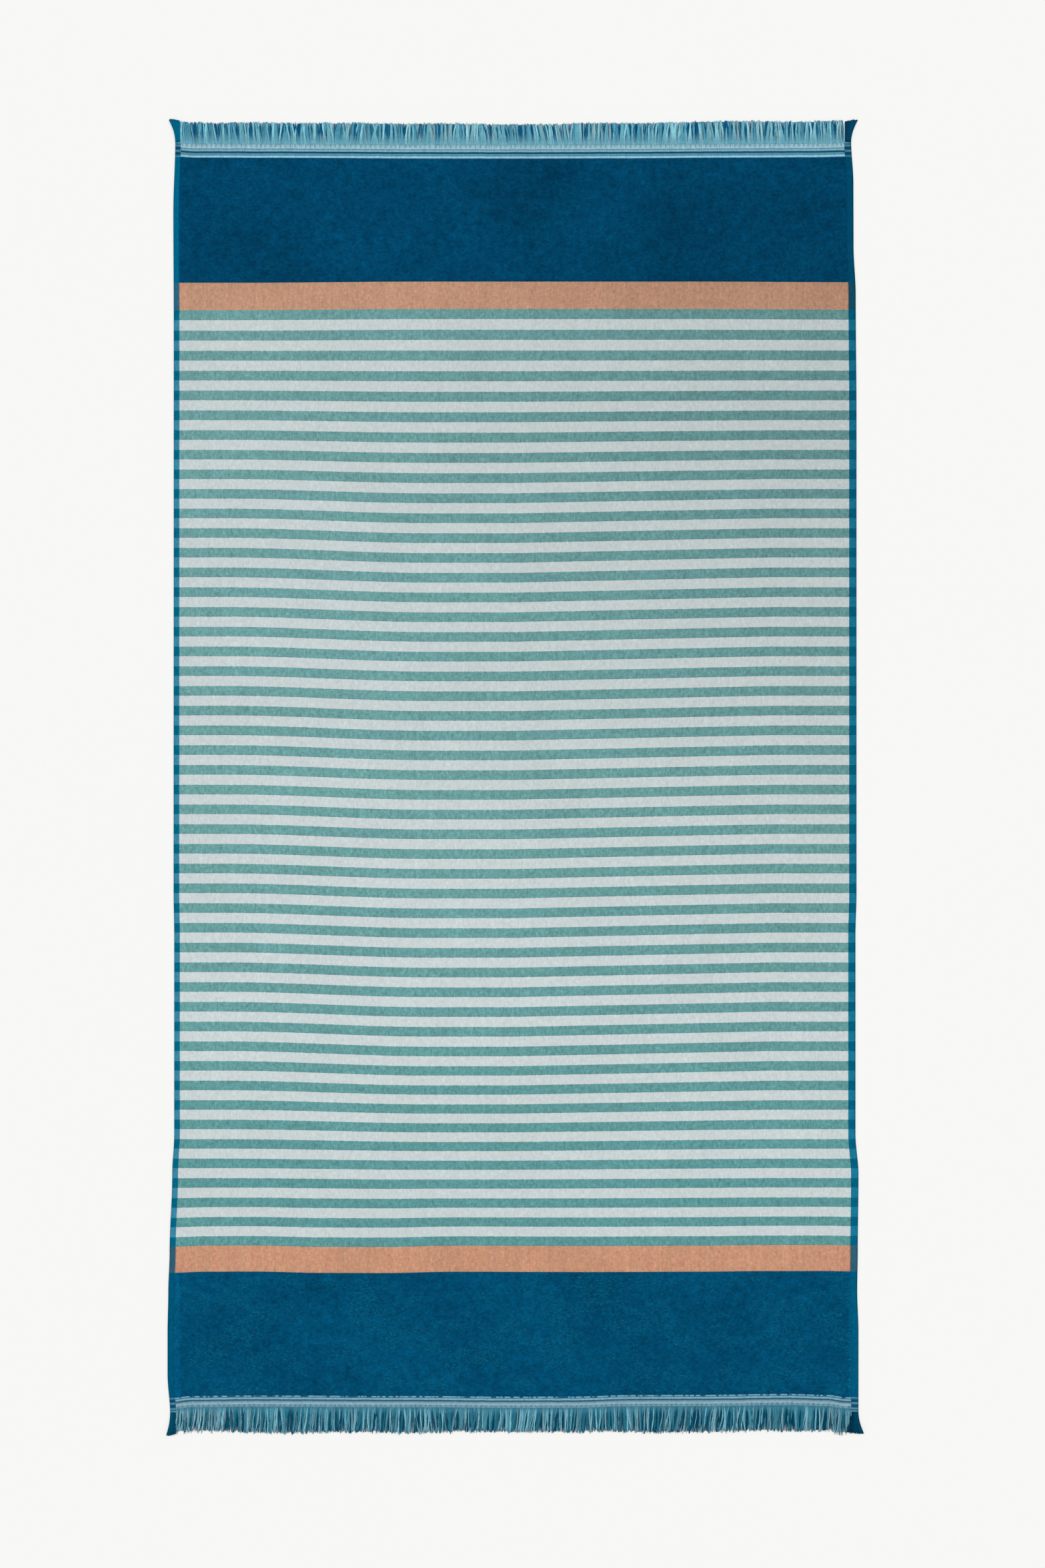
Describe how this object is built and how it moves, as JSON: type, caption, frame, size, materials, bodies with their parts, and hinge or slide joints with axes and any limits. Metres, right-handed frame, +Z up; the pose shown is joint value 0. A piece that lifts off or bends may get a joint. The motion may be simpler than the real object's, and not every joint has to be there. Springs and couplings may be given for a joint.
{
  "type": "fringed bath towel",
  "caption": "Long cotton towel with a striped flat-woven front, looped back, thick blue pile ends, coral bands and fringed ends, folding across its length.",
  "frame": {"origin": "on the surface the towel lies on, under the middle of the flat towel (bottom centre of its box)", "axes": "+X across the cloth to the right seen from the front side, +Y along the cloth to the head end, +Z up out of the front side"},
  "size_m": [0.916, 1.7286, 0.004],
  "materials": {
    "blue_pile": "soft dyed cotton loop pile, matt with a faint sheen",
    "blue_terry": "looped cotton terry, matt",
    "striped_weave": "flat cotton weave in teal and pale grey bands, heathered, matt",
    "coral_weave": "flat cotton weave, heathered coral, matt",
    "header_weave": "flat cotton weave with fine ruled lines, matt",
    "ground_weave": "plain cotton weave under the pile, matt",
    "selvedge_weave": "dense flat cotton edge weave, blue, matt",
    "fringe_yarn": "loose cotton warp yarns, mixed pale, teal and blue",
    "tassel_yarn": "loose blue cotton yarns",
    "seam_thread": "fine overlock thread"
  },
  "bodies": {
    "head_half": {"head_half_striped_cloth": "striped_weave", "head_half_terry_back": "blue_terry", "head_half_selvedge_left": "selvedge_weave", "head_half_selvedge_right": "selvedge_weave"},
    "head_end": {"head_coral_band": "coral_weave", "head_ground_cloth": "ground_weave", "head_front_pile": "blue_pile", "head_terry_back": "blue_terry", "head_header_band": "header_weave", "head_hem_stitching": "seam_thread", "head_fringe": "fringe_yarn", "head_tassel_left": "tassel_yarn", "head_tassel_right": "tassel_yarn", "head_end_selvedge_left": "selvedge_weave", "head_end_selvedge_right": "selvedge_weave"},
    "foot_half": {"foot_half_striped_cloth": "striped_weave", "foot_half_terry_back": "blue_terry", "foot_half_selvedge_left": "selvedge_weave", "foot_half_selvedge_right": "selvedge_weave"},
    "foot_end": {"foot_coral_band": "coral_weave", "foot_ground_cloth": "ground_weave", "foot_front_pile": "blue_pile", "foot_terry_back": "blue_terry", "foot_header_band": "header_weave", "foot_hem_stitching": "seam_thread", "foot_fringe": "fringe_yarn", "foot_tassel_left": "tassel_yarn", "foot_tassel_right": "tassel_yarn", "foot_end_selvedge_left": "selvedge_weave", "foot_end_selvedge_right": "selvedge_weave"}
  },
  "joints": [
    {"name": "head_end_fold", "type": "hinge", "parent": "head_half", "child": "head_end", "pos_m": [0, 0.6173, 0.00438], "axis": [1, 0, 0], "range_deg": [0, 180]},
    {"name": "middle_fold", "type": "hinge", "parent": "head_half", "child": "foot_half", "pos_m": [0, 0, 0.009], "axis": [-1, 0, 0], "range_deg": [0, 180]},
    {"name": "foot_end_fold", "type": "hinge", "parent": "foot_half", "child": "foot_end", "pos_m": [0, -0.6173, 0.00438], "axis": [-1, 0, 0], "range_deg": [0, 180]}
  ]
}
